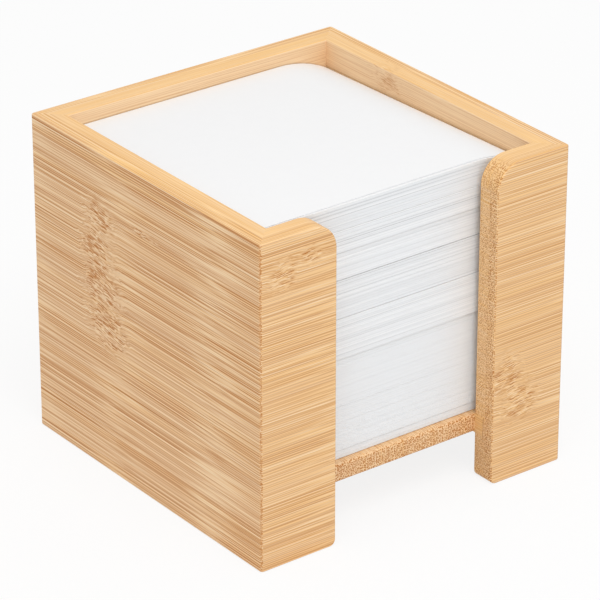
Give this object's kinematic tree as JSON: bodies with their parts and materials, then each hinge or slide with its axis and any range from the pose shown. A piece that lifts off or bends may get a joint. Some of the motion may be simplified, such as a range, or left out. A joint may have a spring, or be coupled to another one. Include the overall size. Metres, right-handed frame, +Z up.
{
  "type": "memo box",
  "caption": "Open-topped bamboo box that holds a block of loose square memo sheets, with a gap in its front wall for the fingers and a raised base plate.",
  "frame": {"origin": "middle of the footprint, on the surface that the box stands on", "axes": "+Z up, -Y towards the front with the finger gap, +X to the right as seen from the front"},
  "size_m": [0.107, 0.1084, 0.0994],
  "materials": {
    "bamboo": "satin lacquer",
    "paper": "uncoated"
  },
  "bodies": {
    "box": {"left_wall_outer_ply": "bamboo", "left_wall_inner_ply": "bamboo", "back_wall_outer_ply": "bamboo", "back_wall_inner_ply": "bamboo", "right_wall_outer_ply": "bamboo", "right_wall_inner_ply": "bamboo", "front_left_panel_outer_ply": "bamboo", "front_left_panel_inner_ply": "bamboo", "front_right_panel_outer_ply": "bamboo", "front_right_panel_inner_ply": "bamboo", "base_plate": "bamboo"},
    "paper_packet_1": {"paper_packet_1": "paper"},
    "paper_packet_2": {"paper_packet_2": "paper"},
    "paper_packet_3": {"paper_packet_3": "paper"},
    "paper_packet_4": {"paper_packet_4": "paper"},
    "paper_packet_5": {"paper_packet_5": "paper"},
    "paper_packet_6": {"paper_packet_6": "paper"},
    "paper_packet_7": {"paper_packet_7": "paper"},
    "paper_packet_8": {"paper_packet_8": "paper"},
    "top_sheet": {"top_sheet": "paper"}
  },
  "joints": [
    {"name": "paper_packet_1_lift", "type": "slide", "parent": "box", "child": "paper_packet_1", "axis": [0, 0, 1], "range_m": [0, 0.0893]},
    {"name": "paper_packet_2_lift", "type": "slide", "parent": "paper_packet_1", "child": "paper_packet_2", "axis": [0, 0, 1], "range_m": [0, 0.0866]},
    {"name": "paper_packet_3_lift", "type": "slide", "parent": "paper_packet_2", "child": "paper_packet_3", "axis": [0, 0, 1], "range_m": [0, 0.0729]},
    {"name": "paper_packet_4_lift", "type": "slide", "parent": "paper_packet_3", "child": "paper_packet_4", "axis": [0, 0, 1], "range_m": [0, 0.0578]},
    {"name": "paper_packet_5_lift", "type": "slide", "parent": "paper_packet_4", "child": "paper_packet_5", "axis": [0, 0, 1], "range_m": [0, 0.0457]},
    {"name": "paper_packet_6_lift", "type": "slide", "parent": "paper_packet_5", "child": "paper_packet_6", "axis": [0, 0, 1], "range_m": [0, 0.0341]},
    {"name": "paper_packet_7_lift", "type": "slide", "parent": "paper_packet_6", "child": "paper_packet_7", "axis": [0, 0, 1], "range_m": [0, 0.0282]},
    {"name": "paper_packet_8_lift", "type": "slide", "parent": "paper_packet_7", "child": "paper_packet_8", "axis": [0, 0, 1], "range_m": [0, 0.0236]},
    {"name": "top_sheet_lift", "type": "slide", "parent": "paper_packet_8", "child": "top_sheet", "axis": [0, 0, 1], "range_m": [0, 0.0185]}
  ]
}
